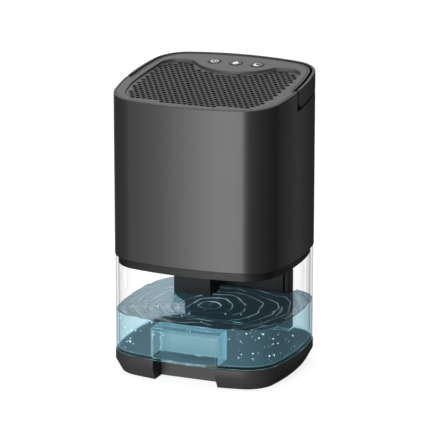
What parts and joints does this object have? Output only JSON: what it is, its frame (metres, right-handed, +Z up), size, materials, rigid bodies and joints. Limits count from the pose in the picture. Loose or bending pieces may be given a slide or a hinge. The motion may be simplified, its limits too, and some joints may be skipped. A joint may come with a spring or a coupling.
{
  "type": "dehumidifier",
  "caption": "Small table dehumidifier: cooled head with a sloping top grille, rear column, pull-out clear water tank, folding carry handle and touch keys.",
  "frame": {"origin": "middle of the footprint on the surface it stands on", "axes": "+Z up, -Y to the front where the tank pulls out, +X to the right seen from behind the front face looking along +Y"},
  "size_m": [0.138, 0.1242, 0.2281],
  "materials": {
    "satin_charcoal": "satin moulded plastic",
    "handle_charcoal": "satin moulded plastic",
    "column_black": "fine matte texture",
    "panel_grey": "satin moulded plastic",
    "inner_black": "plain moulded plastic",
    "foot_rubber": "soft matte rubber",
    "fan_black": "plain moulded plastic",
    "fin_aluminium": "extruded",
    "ceramic_white": "fired ceramic faces",
    "gasket_foam": "closed-cell foam",
    "tray_white": "plain moulded plastic",
    "board_green": "solder-masked board",
    "switch_black": "plain moulded plastic",
    "light_blue": "clear light pipe lit from below",
    "button_black": "glossy cap with a white sign",
    "jack_black": "plain moulded plastic",
    "lead_red": "wire insulation",
    "reed_glass": "potted glass switch",
    "clear_lens": "clear moulded lens",
    "clear_tank": "clear polished plastic",
    "lid_black": "plain moulded plastic",
    "seal_rubber": "soft silicone",
    "float_foam": "closed-cell foam",
    "magnet_nickel": "nickel plate",
    "pin_steel": "turned steel",
    "washer_white": "low-friction plastic",
    "screw_steel": "zinc-plated"
  },
  "bodies": {
    "root": {"head_casing": "satin_charcoal", "top_panel": "panel_grey", "outlet_grille": "panel_grey", "head_floor": "inner_black", "rear_column": "column_black", "column_cover": "satin_charcoal", "base_tray": "satin_charcoal", "base_cover": "inner_black", "rubber_feet": "foot_rubber", "fan_frame": "fan_black", "heat_sink": "fin_aluminium", "peltier_module": "ceramic_white", "foam_gasket": "gasket_foam", "cold_plate": "fin_aluminium", "drip_tray": "tray_white", "control_board": "board_green", "tact_switches": "switch_black", "light_pipes": "light_blue", "dc_jack": "jack_black", "power_lead": "lead_red", "reed_switch": "reed_glass", "tank_light_board": "board_green", "tank_light_lens": "clear_lens", "handle_pins": "pin_steel", "handle_washers": "washer_white", "case_screws": "screw_steel", "fan_screws": "screw_steel", "heat_sink_screws": "screw_steel", "clamp_screws": "screw_steel", "column_screws": "screw_steel", "base_screws": "screw_steel", "board_screws": "screw_steel"},
    "fan": {"fan_rotor": "fan_black"},
    "power_key": {"power_button": "button_black"},
    "mode_key": {"mode_button": "button_black"},
    "night_key": {"night_button": "button_black"},
    "tank": {"water_tank": "clear_tank", "tank_lid": "lid_black", "drip_seal": "seal_rubber", "float_cage": "lid_black"},
    "float": {"float_block": "float_foam", "float_magnet": "magnet_nickel"},
    "handle": {"handle": "handle_charcoal"}
  },
  "joints": [
    {"name": "handle_pivot", "type": "hinge", "parent": "root", "child": "handle", "pos_m": [0, 0.0022, 0.21397], "axis": [1, 0, 0], "range_deg": [0, 90]},
    {"name": "tank_slide", "type": "slide", "parent": "root", "child": "tank", "axis": [0, -1, 0], "range_m": [0, 0.135]},
    {"name": "float_rise", "type": "slide", "parent": "tank", "child": "float", "axis": [0, 0, 1], "range_m": [0, 0.008]},
    {"name": "fan_spin", "type": "hinge", "parent": "root", "child": "fan", "pos_m": [0, 0, 0.19], "axis": [0, 0, 1], "continuous": true},
    {"name": "power_press", "type": "slide", "parent": "root", "child": "power_key", "axis": [0, 0.1227, -0.9924], "range_m": [0, 0.0006], "stiffness_N_per_m": 300, "springref_m": -0.0004},
    {"name": "mode_press", "type": "slide", "parent": "root", "child": "mode_key", "axis": [0, 0.1227, -0.9924], "range_m": [0, 0.0006], "stiffness_N_per_m": 300, "springref_m": -0.0004},
    {"name": "night_press", "type": "slide", "parent": "root", "child": "night_key", "axis": [0, 0.1227, -0.9924], "range_m": [0, 0.0006], "stiffness_N_per_m": 300, "springref_m": -0.0004}
  ]
}
